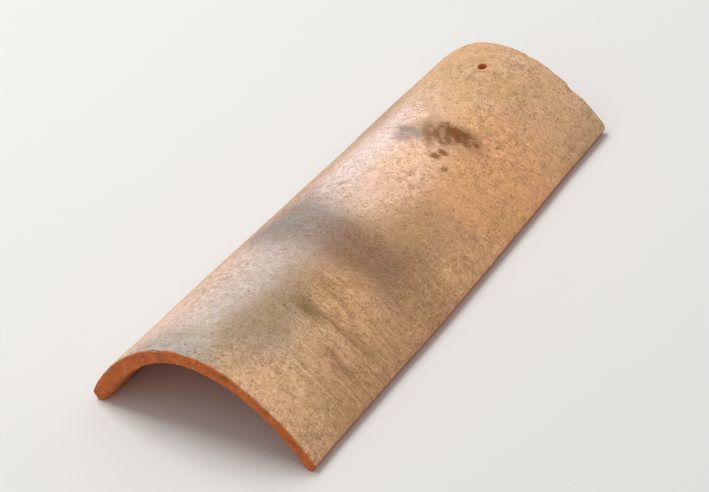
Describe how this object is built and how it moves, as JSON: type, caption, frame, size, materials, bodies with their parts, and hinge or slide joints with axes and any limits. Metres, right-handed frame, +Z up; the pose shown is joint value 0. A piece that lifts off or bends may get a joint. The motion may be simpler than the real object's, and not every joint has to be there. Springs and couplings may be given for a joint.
{
  "type": "clay roof tile",
  "caption": "Tapered barrel-shaped clay roof tile, wide at the nose and narrow at the head, that covers the joint between channel tiles and has a nail hole near its head.",
  "frame": {"origin": "middle of the tile's footprint, on the floor that its two long edges stand on", "axes": "+Y along the barrel from the wide nose to the narrow head, +X across it, +Z up through the crown"},
  "size_m": [0.2028, 0.419, 0.0759],
  "materials": {
    "fired_clay": "matt fired clay with a sandy buff outer face and orange terracotta ends and underside"
  },
  "bodies": {
    "root": {"roof_tile": "fired_clay"}
  },
  "joints": []
}
